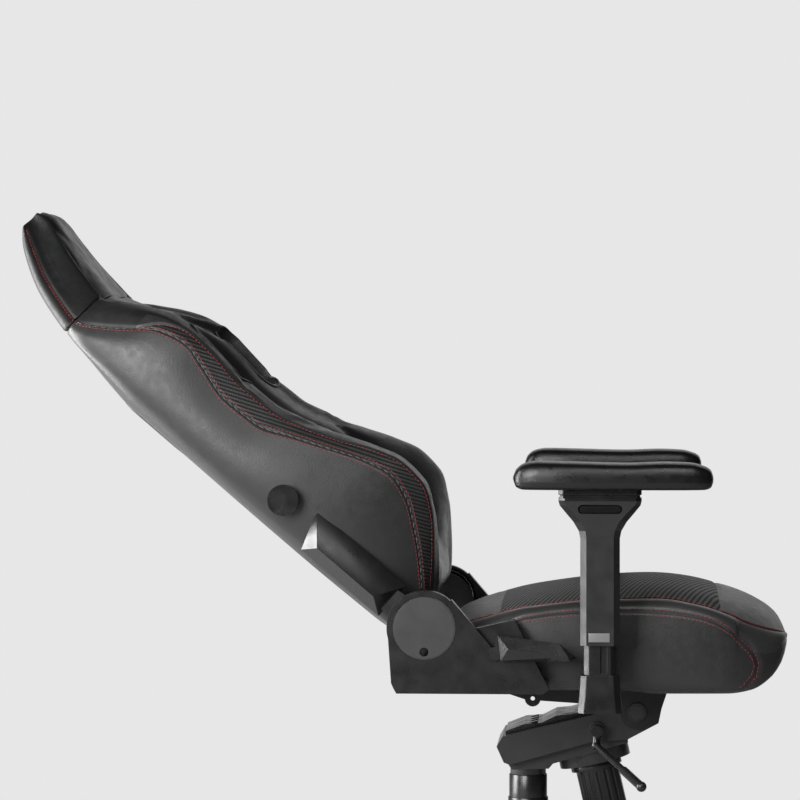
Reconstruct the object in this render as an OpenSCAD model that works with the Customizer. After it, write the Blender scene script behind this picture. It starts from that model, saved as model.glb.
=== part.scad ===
// Reclining gaming chair on a five-star caster base. Millimetres, +Z up, +X is the sitter's front,
// and the origin is on the floor under the gas lift's axis. Right-hand parts lie at negative Y.

/* [Base] */
// Distance from the swivel axis to each caster stem
base_reach = 325; // [300:1:345]
// Radius of the hub that holds the gas lift
hub_r = 34; // [32:1:38]
// Height of the hub's top face
hub_top = 132; // [130:1:133]
// Radius of each caster wheel
wheel_r = 30; // [27:1:30]
// Distance that a caster's axle trails behind its stem
caster_trail = 22; // [20:1:24]

/* [Gas lift] */
// Radius of the fixed outer tube
tube_r = 25; // [24:0.5:25]
// Radius of the rising inner tube
column_r = 14; // [13:0.5:14]

/* [Mechanism] */
// Distance of the tilt pivot ahead of the lift axis
pivot_x = 152; // [150:1:154]
// Height of the tilt pivot
pivot_z = 355; // [353:1:357]
// Half width of the mechanism housing
housing_half = 78; // [74:1:80]
// Slope of the tension knob's axis from vertical
knob_tilt = 13; // [10:1:16]
// Radius of the tension knob's grip
knob_r = 30; // [27:1:31]

/* [Seat] */
// Height of the seat cushion's bottom edge
seat_bottom = 399; // [398:1:400]
// Half width of the seat cushion at its side panels
seat_half = 264; // [260:1:266]
// Height of the seat cushion's top seams
seat_top = 523; // [515:1:527]
// Side of the seat frame's square tube
frame_tube = 20; // [18:1:22]

/* [Backrest] */
// Distance of the recline hinge behind the lift axis
hinge_back = 131; // [130:1:133]
// Height of the recline hinge
hinge_z = 485; // [484:1:487]
// Recline from upright at which the chair is modelled
recline = 49.5; // [45:0.5:55]
// Radius of the round hinge cap
cap_r = 50; // [47:1:51]
// Radius of the backrest frame's tube
back_tube_r = 11; // [9:0.5:12]

/* [Armrests] */
// Distance of each armrest post from the middle of the chair
arm_y = 310; // [309:1:313]
// Distance of the armrest posts ahead of the lift axis
arm_x = 102; // [100:1:104]
// Length of an arm pad
pad_length = 262; // [240:1:266]
// Width of an arm pad
pad_width = 94; // [80:1:96]

/* [Hidden] */
$fn = 64;

run_fit = 0.06;          // radial clearance of a turning or sliding fit
gap = 0.3;               // clearance between bodies that pass each other
plate = 5;               // thickness of the steel plates

// base and casters
axle_r = 4;
stem_r = 5.5;
hood_r = wheel_r + 4;
tip_bottom = 2 * wheel_r + 6;
tip_top = tip_bottom + 32;
wheel_w = 20;
web_half = 5;

// gas lift
rod_r = 5;
tube_bottom = 45;
tube_top = 205;
cup_bottom = 258;        // underside of the mechanism, where the lift column enters it
cup_r = 25;

// mechanism and tilt
shaft_r = 8;
cheek_in = 92;           // inner face of the seat plate's cheeks
cheek = 4;
ear_x = 8.5;             // hole in the ears that hang from the seat plate
ear_z = seat_bottom - 26;
lever_x = 97;            // height lever's root
lever_z = 329;
knob_x = 92;             // where the tension bolt's axis crosses knob_z
knob_z = 288;

// seat
seat_rear = -112;
pocket_top = seat_bottom + 26;
frame_z = seat_bottom + 3;
frame_front = 285;
frame_half = 226;

// recline hinge, from the middle of the chair outwards
bracket_y = 256;         // seat-side plate
recliner_y = bracket_y + plate;
arm_plate_y = 270.8;     // back-side plate
cover_y = 297;           // outer face of the side covers
hub_pin_r = 8;

// belt openings
belt_u = 450;            // up the backrest from the hinge
belt_y = 182;
belt_long = 116;
belt_wide = 56;

// axis of the lumbar knob: out of the hinge plane, and up the backrest
lumbar_v = 6;
lumbar_u = 253;

// armrests
sleeve_bottom = 465;
sleeve_top = 656;
pad_bottom = 672;
pad_y = arm_y + 10;

// -------------------------------------------------------------------------------- helpers

// outline drawn in X and Z, made solid from y0 to y1
module slab(y0, y1) translate([0, y1, 0]) rotate([90, 0, 0]) linear_extrude(y1 - y0) children();
// cylinder along Y
module pin(r, y0, y1) translate([0, y0, 0]) rotate([-90, 0, 0]) cylinder(r = r, h = y1 - y0);
// copies a right-hand shape to the left
module both_sides() { children(); mirror([0, 1, 0]) children(); }
// frame of the backrest: +Z up the back, +X out of its front, origin on the hinge
module in_back() translate([-hinge_back, 0, hinge_z]) rotate([0, -recline, 0]) children();
module at_hinge() translate([-hinge_back, 0, hinge_z]) children();
module disc(p, r) translate(p) circle(r);
// round rod from a to b
module rod(a, b, r) {
    d = b - a;
    translate(a) rotate([0, acos(d[2] / norm(d)), atan2(d[1], d[0])]) cylinder(r = r, h = norm(d));
}
// oval outline, long in Y of its own plane
module stadium(long, wide) {
    square([wide, long - wide], center = true);
    disc([0, (long - wide) / 2], wide / 2);
    disc([0, -(long - wide) / 2], wide / 2);
}
// rectangle with cut corners
module cut_rect(x, y, c) polygon(cut_points(x / 2, y / 2, c));
function cut_points(a, b, c) =
    [[a, -b + c], [a, b - c], [a - c, b], [-a + c, b], [-a, b - c], [-a, -b + c], [-a + c, -b], [a - c, -b]];

// solid skinned over rings of points, all with the same number of points
module loft(rings) {
    n = len(rings[0]);
    m = len(rings);
    polyhedron(
        points = [for (ring = rings) each ring],
        faces = concat(
            [[for (i = [0:n - 1]) i]],
            [for (k = [0:m - 2]) for (i = [0:n - 1])
                let (j = (i + 1) % n) [k * n + i, (k + 1) * n + i, (k + 1) * n + j, k * n + j]],
            [[for (i = [n - 1:-1:0]) (m - 1) * n + i]]));
}
// a half outline of [y, z] points run down one side and back up the other
function mirrored(half) =
    concat(half, [for (i = [len(half) - 1:-1:0]) if (half[i][0] > 0) [-half[i][0], half[i][1]]]);

// -------------------------------------------------------------------------------- base

module leg_plan() {
    polygon([[10, -28], [base_reach - 20, -17], [base_reach, -17], [base_reach, 17],
        [base_reach - 20, 17], [10, 28]]);
    disc([base_reach, 0], 18);
}
function leg_drop(s) = s * s * (3 - 2 * s);
module leg_side() {
    steps = 8;
    polygon(concat(
        [for (i = [0:steps]) let (s = i / steps) [s * base_reach, hub_top - (hub_top - tip_top) * leg_drop(s)]],
        [[base_reach + 20, tip_top], [base_reach + 20, tip_bottom], [base_reach - 20, tip_bottom]],
        [for (i = [steps - 1:-1:0]) let (s = i / steps) [s * base_reach, tip_bottom + 22 * (1 - leg_drop(s))]]));
}
module star_base() color([0.16, 0.16, 0.17]) difference() {
    union() {
        translate([0, 0, 62]) cylinder(r = hub_r, h = hub_top - 62);
        for (i = [0:4]) rotate(180 + 72 * i) intersection() {
            slab(-40, 40) leg_side();
            linear_extrude(200) leg_plan();
        }
    }
    translate([0, 0, 60]) cylinder(r = tube_r + 0.05, h = 80);
    for (i = [0:4]) rotate(180 + 72 * i) translate([base_reach, 0, tip_bottom - 1])
        cylinder(r = stem_r + run_fit, h = 30);
}

module at_caster(i) translate([base_reach * cos(180 + 72 * i), base_reach * sin(180 + 72 * i), 0]) children();
module caster_fork(i) color([0.08, 0.08, 0.085]) at_caster(i) {
    neck_top = tip_bottom - 0.5;
    translate([0, 0, neck_top - 7]) cylinder(r = 9, h = 7);
    translate([0, 0, neck_top - 7]) cylinder(r = stem_r, h = 35);
    // web between the wheels
    slab(-web_half, web_half) {
        polygon([[-caster_trail - 12, wheel_r], [-caster_trail + 12, wheel_r - 6], [9, neck_top - 16],
            [9, neck_top], [-9, neck_top], [-caster_trail - 10, wheel_r + 31]]);
        disc([-caster_trail, wheel_r], 13);
    }
    // hood over both wheels
    slab(-26, 26) intersection() {
        difference() {
            disc([-caster_trail, wheel_r], hood_r);
            disc([-caster_trail, wheel_r], hood_r - 2.6);
        }
        polygon([[-caster_trail, wheel_r - 8], [-caster_trail - 60, wheel_r + 6],
            [-caster_trail - 60, wheel_r + 60], [-2, wheel_r + 60], [4, wheel_r + 12]]);
    }
    translate([-caster_trail, 0, wheel_r]) pin(axle_r, -26.5, 26.5);
}
module caster_wheels(i) color([0.05, 0.05, 0.05]) at_caster(i)
    translate([-caster_trail, 0, wheel_r]) both_sides()
        rotate([90, 0, 0]) translate([0, 0, web_half + 0.6]) rotate_extrude()
            polygon([[axle_r + run_fit, 0], [axle_r + run_fit, wheel_w - 1], [10, wheel_w - 1],
                [12, wheel_w - 3], [19, wheel_w - 3], [21, wheel_w], [wheel_r - 3, wheel_w],
                [wheel_r - 0.9, wheel_w - 1], [wheel_r, wheel_w - 3], [wheel_r, 3],
                [wheel_r - 0.9, 1], [wheel_r - 3, 0]]);

// -------------------------------------------------------------------------------- gas lift

module ring_tube(outer, inner, z0, z1) translate([0, 0, z0]) difference() {
    cylinder(r = outer, h = z1 - z0);
    translate([0, 0, -1]) cylinder(r = inner, h = z1 - z0 + 2);
}
module lift_outer_tube() color([0.1, 0.1, 0.1]) translate([0, 0, tube_bottom]) difference() {
    cylinder(r = tube_r, h = tube_top - tube_bottom);
    translate([0, 0, -1]) cylinder(r = rod_r + run_fit, h = 20);
    translate([0, 0, 7]) cylinder(r = tube_r - 3, h = 138);
    translate([0, 0, 140]) cylinder(r = column_r + run_fit, h = 60);
}
module cover_lower() color([0.1, 0.1, 0.1]) ring_tube(tube_r + 4.8, tube_r + 3.6, hub_top, 200);
module cover_middle() color([0.1, 0.1, 0.1]) ring_tube(tube_r + 3.2, tube_r + 2, 158, 226);
module cover_upper() color([0.12, 0.12, 0.12]) ring_tube(tube_r + 1.6, tube_r + 0.4, 202, cup_bottom);
module thrust_bearing() color([0.6, 0.6, 0.62]) ring_tube(15, rod_r + 0.02, tube_bottom + 7.3, 58);
module piston_rod() color([0.75, 0.75, 0.77]) {
    translate([0, 0, tube_bottom + 1]) cylinder(r = rod_r, h = 178);
    translate([0, 0, 213]) cylinder(r = column_r - 3, h = 12);
}
module lift_column() color([0.12, 0.12, 0.12]) difference() {
    translate([0, 0, 110]) cylinder(r = column_r, h = 202);
    translate([0, 0, 109]) cylinder(r = rod_r + run_fit, h = 30);
    translate([0, 0, 120]) cylinder(r = column_r - 3 + run_fit, h = 165);
    translate([0, 0, 298]) cylinder(r = 4.5 + run_fit, h = 20);
}
module release_button() color([0.8, 0.2, 0.15]) translate([0, 0, 304]) cylinder(r = 4.5, h = 14);

// -------------------------------------------------------------------------------- mechanism

module housing_side() {
    polygon([[-42, 304], [-34, 318], [96, 350], [132, 368], [140, 374], [164, 374], [178, 368], [186, 357],
        [182, 338], [139, 315], [88, 311], [-24, 279], [-32, 282]]);
}
module mechanism_housing() color([0.14, 0.14, 0.145]) difference() {
    union() {
        slab(-housing_half, housing_half) housing_side();
        // narrower pan below
        slab(-60, 60) polygon([[-30, 283], [-21, 270], [30, 272], [36, 279], [140, 309], [140, 320], [-20, 300]]);
        translate([0, 0, cup_bottom]) cylinder(r = cup_r, h = 30);
        // round flange that the tension knob turns against
        translate([knob_x, 0, knob_z]) rotate([0, -knob_tilt, 0]) translate([0, 0, -11]) cylinder(r = 50, h = 20);
        // boss round the lever's root
        translate([lever_x, 0, lever_z]) pin(11, -housing_half - 4, -housing_half + 2);
        // trunnions that the seat plate's cheeks turn beside
        translate([pivot_x, 0, pivot_z]) pin(15, -cheek_in + gap, cheek_in - gap);
    }
    translate([0, 0, cup_bottom - 1]) cylinder(r = column_r + 0.02, h = 68);
    translate([pivot_x, 0, pivot_z]) pin(shaft_r + 0.02, -100, 100);
    translate([lever_x, 0, lever_z]) pin(6 + run_fit, -90, -46);
    // well for the spring, open at the top
    slab(-40, 40) polygon([[46, 302], [132, 322], [128, 400], [30, 400], [30, 318]]);
    // hole for the tension bolt
    translate([knob_x, 0, knob_z]) rotate([0, -knob_tilt, 0]) translate([0, 0, -30]) cylinder(r = 6 + run_fit, h = 60);
}
module mechanism_lid() color([0.09, 0.09, 0.09]) difference() {
    union() {
        slab(-60, 60) polygon([[-30, 319.4], [110, 353.9], [110, 358], [96, 357], [60, 348], [40, 346],
            [20, 336], [-4, 334], [-30, 324]]);
        for (i = [0:3]) slab(-50 + 28 * i, -42 + 28 * i) polygon([[-20, 320], [16, 332], [14, 338], [-14, 330]]);
    }
    slab(-housing_half - 1, housing_half + 1) polygon([[-60, 312], [-34, 318.2], [96, 350.2], [132, 368.2],
        [132, 200], [-60, 200]]);
}
module tilt_shaft() color([0.3, 0.3, 0.31]) translate([pivot_x, 0, pivot_z]) {
    pin(shaft_r, -98, 98);
    both_sides() difference() {
        pin(12.5, -100.5, -96.6);
        difference() {
            pin(11, -101, -99.6);
            pin(9.5, -102, -99);
        }
    }
}
// helix of wire round the tension bolt
module tension_spring() color([0.5, 0.5, 0.52]) {
    turns = 3;
    per_turn = 20;
    wire_r = 2.2;
    loft([for (i = [0:turns * per_turn]) let (a = 360 * i / per_turn)
        [for (k = [0:7]) let (b = 45 * k, r = 19 + wire_r * cos(b))
            [knob_x - 10 + r * cos(a), r * sin(a), 320.5 + 15 * i / (turns * per_turn) + wire_r * sin(b)]]]);
}
module tension_knob() color([0.1, 0.1, 0.1]) translate([knob_x, 0, knob_z]) rotate([0, -knob_tilt, 0]) {
    translate([0, 0, -19]) cylinder(r = 6, h = 45);
    translate([0, 0, -20]) cylinder(r = knob_r + 6, h = 7.5);
    difference() {
        translate([0, 0, -76]) cylinder(r = knob_r, h = 57);
        for (i = [0:15]) rotate(22.5 * i) translate([knob_r + 1.4, 0, -78]) cylinder(r = 3, h = 54);
    }
}
module lever_shaft() color([0.4, 0.4, 0.42]) translate([lever_x, 0, lever_z]) {
    pin(6, -88, -50);
    pin(4, -101.8, -87);
}
module height_lever() color([0.1, 0.1, 0.1]) translate([lever_x, 0, lever_z]) {
    difference() {
        pin(8, -104, -88 - gap);
        pin(4 + run_fit, -102, -80);
    }
    heel = [-1, -97, -20];
    tip = [60, -250, -58];
    difference() {
        union() {
            rod([0, -96, -4], heel, 5.4);
            translate(heel) sphere(r = 6.4);
            rod(heel, tip, 4.6);
            rod(heel + 0.62 * (tip - heel), tip, 6);
            translate(tip) sphere(r = 7);
        }
        pin(4 + run_fit, -102, -80);
    }
}

// -------------------------------------------------------------------------------- seat

module cheek_side() difference() {
    union() {
        polygon([[-24, seat_bottom], [-24, seat_bottom - 20], [-3, seat_bottom - 27], [20, seat_bottom - 29],
            [67, seat_bottom - 32], [118, seat_bottom - 38], [pivot_x - 24, pivot_z], [pivot_x, pivot_z],
            [pivot_x + 23, pivot_z - 8], [pivot_x + 33, pivot_z + 2], [193, seat_bottom - 18], [193, seat_bottom]]);
        disc([pivot_x, pivot_z], 24);
        disc([ear_x, ear_z], 11);
    }
    disc([pivot_x, pivot_z], shaft_r + run_fit);
    disc([ear_x, ear_z], 3);
}
bolt_spots = [[-45, 82], [-45, -82], [182, 82], [182, -82]];
module seat_plate() color([0.12, 0.12, 0.125]) {
    difference() {
        translate([-60, -100, seat_bottom - plate]) cube([256, 200, plate]);
        for (p = bolt_spots) translate([p[0], p[1], 0]) cylinder(r = 4.2, h = 600);
    }
    both_sides() slab(-cheek_in - cheek, -cheek_in) cheek_side();
}
module seat_frame() color([0.2, 0.2, 0.2]) translate([0, 0, frame_z]) {
    rail = frame_front - seat_rear - 4;
    for (x = [seat_rear + 2, -54, 90, 172, frame_front - frame_tube])
        translate([x, -frame_half, 0]) cube([frame_tube, 2 * frame_half, frame_tube]);
    both_sides() translate([seat_rear + 2, -frame_half, 0]) cube([rail, frame_tube, frame_tube]);
}
module seat_webbing() color([0.12, 0.12, 0.12]) translate([0, 0, frame_z + frame_tube]) {
    for (y = [-150:75:150]) translate([seat_rear + 4, y - 25, 0]) cube([frame_front - seat_rear - 8, 50, 1]);
    for (x = [-60:75:240]) translate([x - 20, -frame_half + 4, 1]) cube([40, 2 * frame_half - 8, 1]);
}

// seat stations: X, half width, bottom, side seam height, edge height, middle height, all from the floor
seat_stations = [
    [-112, 232, 414, 448, 462, 466],
    [-104, 244, 402, 456, 474, 480],
    [-84, 249, 399, 464, 486, 492],
    [-50, 250, 399, 476, 496, 503],
    [-30, 252, 399, 484, 502, 508],
    [-12, seat_half - 2, 399, 492, 507, 513],
    [30, seat_half, 399, 504, 513, 521],
    [80, seat_half, 399, 509, 519, 529],
    [130, seat_half, 399, 511, seat_top - 2, 535],
    [180, seat_half, 395, 507, seat_top - 1, 537],
    [230, seat_half - 2, 395, 496, 514, 533],
    [272, seat_half - 6, 395, 476, 501, 523],
    [303, 248, 399, 452, 487, 513],
    [328, 232, 413, 448, 479, 501],
    [345, 210, 434, 456, 474, 488],
    [354, 180, 456, 462, 470, 476]
];
function seat_ring(s) = let (x = s[0], w = s[1], b = s[2], side = s[3], edge = s[4], mid = s[5])
    [for (p = mirrored([[w - 14, b], [w - 3, b + (side - b) * 0.08], [w, (b + side) / 2], [w - 2, side],
        [w - 12, (side + edge) / 2 + 3], [w - 32, edge], [w - 90, edge + (mid - edge) * 0.6], [0, mid]]))
        [x, p[0], p[1]]];
module seat_cushion() color([0.2, 0.2, 0.2]) difference() {
    loft([for (s = seat_stations) seat_ring(s)]);
    // pocket for the frame, open below and at the hinge brackets
    translate([seat_rear - 4, -frame_half - 3, 0]) cube([frame_front - seat_rear + 8, 2 * frame_half + 6, pocket_top]);
    both_sides() translate([seat_rear - 4, -300, 0]) cube([seat_rear + 198, 80, seat_bottom + 12]);
}
module bolt(p, head_z, length) translate([p[0], p[1], head_z]) {
    cylinder(r = 6.5, h = 5);
    cylinder(r = 4, h = length);
}
arm_bolt_spots = [[arm_x - 10, 150], [arm_x + 10, 195], [arm_x - 10, 215]];
module seat_bolts() color([0.55, 0.55, 0.57]) {
    for (p = bolt_spots) bolt(p, seat_bottom - plate - 5, 13);
    both_sides() for (p = arm_bolt_spots) bolt([p[0], -p[1]], seat_bottom - 15, 18);
}

// -------------------------------------------------------------------------------- recline hinge

module hinge_brackets() color([0.16, 0.16, 0.16]) both_sides() {
    slab(-bracket_y - plate, -bracket_y) difference() {
        union() {
            disc([-hinge_back, hinge_z], 40);
            polygon([[-hinge_back - 39, hinge_z - 6], [-162, frame_z + 4], [-36, frame_z + 4], [-66, hinge_z - 34],
                [-hinge_back + 32, hinge_z + 24]]);
        }
        disc([-hinge_back, hinge_z], 6 + run_fit);
    }
    translate([seat_rear + 4, -bracket_y - plate, frame_z]) cube([76, bracket_y + plate - frame_half, plate]);
}
module recliners() color([0.35, 0.35, 0.37]) both_sides() at_hinge() {
    pin(36, -arm_plate_y + gap, -recliner_y);
    pin(hub_pin_r, -cover_y + 14, -arm_plate_y);
}
spring_turns = 3;
spring_steps = 18;
function coil_r(i) = 9 + 18 * i / (spring_turns * spring_steps);
function coil_point(i, r) = let (a = 360 * i / spring_steps) [r * cos(a), r * sin(a)];
module recliner_springs() color([0.45, 0.45, 0.47]) both_sides() at_hinge() slab(-cover_y + 15, -cover_y + 20)
    polygon(concat(
        [for (i = [0:spring_turns * spring_steps]) coil_point(i, coil_r(i))],
        [for (i = [spring_turns * spring_steps:-1:0]) coil_point(i, coil_r(i) + 2)]));
module sync_rod() color([0.5, 0.5, 0.52]) at_hinge() pin(6, -bracket_y - plate + 0.5, bracket_y + plate - 0.5);

cover_bottom = 398;
cover_toe = [[-168, cover_bottom], [26, cover_bottom], [35, cover_bottom + 6], [12, 449]];
module cover_outline() {
    polygon(concat([[-hinge_back - cap_r + 2, hinge_z - 14], [-175, 412], [-172, 405]], cover_toe,
        [[-18, 442], [-28, 444], [-50, 470], [-hinge_back + 36, hinge_z + 38], [-hinge_back, hinge_z]]));
}
module cover_panel() {
    polygon(concat([[-150, 440], [-150, cover_bottom]], [for (i = [1:3]) cover_toe[i]],
        [[-11, 496], [-72, 482], [-hinge_back + 38, hinge_z + 36], [-hinge_back, hinge_z - 20]]));
}
module side_cover() color([0.16, 0.16, 0.165]) difference() {
    union() {
        slab(-cover_y, -cover_y + 18) cover_outline();
        slab(-cover_y, -266) intersection() {
            cover_outline();
            translate([-200, 380]) square([260, 85]);
        }
        slab(-cover_y + 11, -266) cover_panel();
        at_hinge() pin(cap_r, -cover_y, -cover_y + 18);
        // slanted rib at the front edge
        slab(-cover_y + 4, -cover_y + 12)
            polygon([cover_toe[2], cover_toe[1], [8, cover_bottom], [-36, 491], [-11, 496]]);
    }
    // hollow inside, with room for the reclining plate to swing
    at_hinge() pin(cap_r - 3.4, -cover_y + 4, -200);
    at_hinge() pin(cap_r + 6, -cover_y + 18 - gap, -200);
    slab(-cover_y + 4, -260) polygon([[-164, 450], [-166, cover_bottom + 4], [0, cover_bottom + 4], [-20, 430], [-60, 450], [-100, 500]]);
    // recess for the hinge cap
    at_hinge() pin(42, -cover_y - 1, -cover_y + 6);
    // pivot of the recline lever
    translate([-36, 0, 452]) pin(5 + run_fit, -310, -250);
}
module hinge_caps() color([0.22, 0.22, 0.225]) both_sides() difference() {
    at_hinge() union() {
        pin(41.7, -cover_y - 1, -cover_y + 3.5);
        pin(40, -cover_y - 1.8, -cover_y + 3.5);
    }
    translate([-hinge_back, 0, hinge_z - 31.5]) pin(6, -cover_y - 5, -cover_y + 1);
}

// upper edge of the lever's outline, from its rear facet to the tip
lever_edge = [[-33, 476], [48, 466], [71, 447], [62, 442.5]];
module recline_lever() color([0.14, 0.14, 0.145]) {
    translate([-36, 0, 452]) pin(5, -cover_y - 4, -270);
    translate([-36, 0, 452]) pin(9, -cover_y - 5, -cover_y - gap);
    difference() {
        union() {
            slab(-cover_y - 8, -cover_y - 3)
                polygon(concat([[-38, 457]], lever_edge, [[46, 441], [4, 445.5], [-29, 443]]));
            // ridged outer face: the ridge runs from the rear facet's point to the tip
            hull() {
                slab(-cover_y - 8, -cover_y - 7)
                    polygon(concat(lever_edge, [[4, 445.5], [-29, 443]]));
                slab(-cover_y - 18, -cover_y - 17.9) polygon([[-19, 460], [60, 449.4], [-19, 459.4]]);
            }
        }
        // finger grips
        for (x = [14, 29, 44]) translate([x, 0, 437]) pin(7, -330, -290);
    }
}

// -------------------------------------------------------------------------------- backrest

// backrest stations: height up the back, half width, rear face, side seam, strip seam, crest, middle of the
// front; the last five are measured out of the hinge plane towards the sitter
back_stations = [
    [18, 226, -28, 10, 26, 40, 36],
    [30, 238, -38, 26, 44, 56, 54],
    [60, 245, -41, 58, 84, 90, 70],
    [95, 254, -41, 88, 122, 124, 82],
    [130, 262, -41, 113, 143, 145, 90],
    [165, 268, -41, 124, 146, 148, 92],
    [205, 270, -41, 116, 135, 137, 88],
    [250, 270, -41, 98, 114, 119, 78],
    [300, 268, -41, 77, 95, 99, 66],
    [350, 264, -41, 57, 84, 87, 58],
    [400, 260, -41, 55, 83, 86, 54],
    [450, 256, -41, 67, 90, 94, 54],
    [490, 253, -41, 77, 92, 98, 58],
    [530, 248, -37, 68, 84, 92, 60],
    [565, 240, -32, 42, 68, 78, 58],
    [600, 229, -27, 16, 42, 58, 52],
    [630, 212, -22, 0, 22, 43, 46]
];
head_stations = [
    [630.3, 212, -22, 0, 22, 43, 46],
    [660, 192, -17, 4, 22, 47, 50],
    [700, 162, -8, 12, 28, 54, 56],
    [740, 130, 8, 26, 40, 64, 65],
    [768, 108, 24, 38, 50, 71, 72],
    [785, 94, 38, 46, 56, 68, 68]
];
function back_ring(s) = let (u = s[0], w = s[1], r = s[2], side = s[3], strip = s[4], crest = s[5], mid = s[6])
    [for (p = mirrored([[w * 0.6, r], [w - 30, r + 1], [w - 8, r + (side - r) * 0.12],
        [w, r + (side - r) * 0.5], [w - 4, side], [w - 18, strip], [w * 0.80, crest], [w * 0.68, crest - 8],
        [w * 0.5, (crest + mid) / 2], [w * 0.36, mid + 3], [0, mid]]))
        [p[1], p[0], u]];

weld = 1.8;              // how far the welded joints stand out from the tubes
// centre line of the frame's side tube
frame_path = [[-4, -225, 70], [-4, -225, 500], [14, -150, 606]];
module frame_tubes(r) {
    both_sides() for (i = [0:1]) {
        rod(frame_path[i], frame_path[i + 1], r);
        translate(frame_path[i]) sphere(r = r + weld);
    }
    both_sides() translate(frame_path[2]) sphere(r = r + weld);
    rod([14, -150, 606], [14, 150, 606], r);
    for (u = [70, 340]) rod([-4, -225, u], [-4, 225, u], r - 2);
    // studs that carry the reclining plates
    both_sides() for (u = [95, 165]) translate([-4, 0, u]) pin(r - 5, -arm_plate_y + 0.2, -220);
}
module back_frame() color([0.2, 0.2, 0.2]) in_back() difference() {
    frame_tubes(back_tube_r);
    translate([lumbar_v, 0, lumbar_u]) pin(5 + run_fit, -300, -200);
}
module belt_hole(r) both_sides() translate([0, -belt_y, belt_u]) rotate([0, 90, 0])
    translate([0, 0, -60]) linear_extrude(200) rotate(90) stadium(belt_long + 2 * r, belt_wide + 2 * r);
module back_cushion() color([0.2, 0.2, 0.2]) in_back() difference() {
    loft([for (s = back_stations) back_ring(s)]);
    frame_tubes(back_tube_r + 0.4);
    belt_hole(0);
    // room for the lumbar plate and the shaft that moves it
    translate([4, -110, 120]) cube([44, 220, 142]);
    translate([lumbar_v, 0, lumbar_u]) pin(7, -300, -100);
}
module headrest() color([0.18, 0.18, 0.18]) in_back() loft([for (s = head_stations) back_ring(s)]);
module belt_trims() color([0.05, 0.05, 0.05]) in_back() difference() {
    intersection() {
        belt_hole(-0.2);
        translate([-30, -250, 380]) cube([88, 500, 140]);
    }
    belt_hole(-3);
}
module lumbar_plate() color([0.1, 0.1, 0.1]) in_back() difference() {
    translate([8, -95, 132]) cube([8, 190, 116]);
    for (y = [-60:30:60]) translate([0, y - 8, 150]) cube([30, 16, 80]);
}
module lumbar_knob() color([0.12, 0.12, 0.12]) in_back() translate([lumbar_v, 0, lumbar_u]) {
    pin(5, -275, -113);
    pin(19, -274, -270.6);
    difference() {
        pin(21, -291, -274);
        pin(18.4, -292, -290.2);
    }
    pin(18, -290.8, -280);
}
module recline_arms() color([0.16, 0.16, 0.16]) in_back() both_sides() slab(-arm_plate_y - plate, -arm_plate_y)
    difference() {
        union() {
            circle(22);
            polygon([[-20, 0], [20, 0], [14, 60], [14, 185], [-20, 185], [-20, 60]]);
        }
        circle(hub_pin_r + run_fit);
    }
module back_covers() color([0.14, 0.14, 0.145]) in_back() both_sides() difference() {
    // long wedge with a slanted facet at each end; six corners
    polyhedron(
        points = [[26, -270.8, 212], [-30, -270.8, 193], [-30, -270.8, 56], [25, -270.8, 54],
            [-12, -cover_y, 177], [-12, -cover_y, 78]],
        faces = [[0, 1, 2, 3], [0, 4, 1], [2, 5, 3], [1, 4, 5, 2], [0, 3, 5, 4]]);
    translate([-20.5, -arm_plate_y - plate - 0.4, 0]) cube([35, plate + 2, 185.6]);
}

// -------------------------------------------------------------------------------- armrests

module place_arm() translate([arm_x, -arm_y, 0]) children();
module arm_bracket() color([0.13, 0.13, 0.135]) {
    // bar bolted under the seat frame
    difference() {
        translate([arm_x - 24, -arm_y, seat_bottom - 10]) cube([48, arm_y - 110, 10]);
        for (p = arm_bolt_spots) translate([p[0], -p[1], 0]) cylinder(r = 4.2, h = 600);
    }
    place_arm() {
        difference() {
            translate([0, 0, seat_bottom - 15]) linear_extrude(216) cut_rect(43, 28, 7);
            // rack groove on the outer face
            translate([1, -20, 428]) cube([8, 8, 160]);
        }
        // flared collar
        loft([for (s = [[376, 29, 21], [382, 29, 21], [400, 27, 20], [426, 25.5, 19]])
            [for (p = cut_points(s[1], s[2], 8)) [p[0], p[1], s[0]]]]);
    }
}
module arm_sleeve() color([0.18, 0.18, 0.185]) place_arm() difference() {
    loft([for (s = [[sleeve_bottom, 26, 19, 8], [606, 26, 19, 8], [616, 28, 19.5, 9], [628, 35, 22, 10],
        [640, 45, 25, 10], [650, 53, 28, 8], [sleeve_top, 54.5, 29, 6]])
        [for (p = cut_points(s[1], s[2], s[3])) [p[0], p[1], s[0]]]]);
    translate([0, 0, 400]) linear_extrude(244) cut_rect(43.8, 28.8, 7);
    // bearing of the turntable
    translate([0, 0, 640]) cylinder(r = 10 + run_fit, h = 40);
    // trigger recess
    translate([0, 0, 645]) rotate([90, 0, 0]) translate([0, 0, 14.8]) linear_extrude(30)
        rotate(90) stadium(58, 12);
}
module arm_trigger() color([0.08, 0.08, 0.08]) place_arm() translate([0, 0, 645]) rotate([90, 0, 0])
    translate([0, 0, 19.5]) linear_extrude(6) rotate(90) stadium(54, 9);
module arm_turntable() color([0.1, 0.1, 0.1]) place_arm() {
    translate([0, 0, sleeve_top + 0.4]) linear_extrude(3) cut_rect(109, 58, 8);
    translate([0, 0, sleeve_top + 3.4]) linear_extrude(4.2) cut_rect(105, 54, 4);
    translate([0, 0, sleeve_top - 11.5]) cylinder(r = 10, h = 14);
}
module arm_slider() color([0.08, 0.08, 0.08]) place_arm()
    translate([0, 0, sleeve_top + 8]) linear_extrude(7.6) cut_rect(109, 60, 6);

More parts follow.
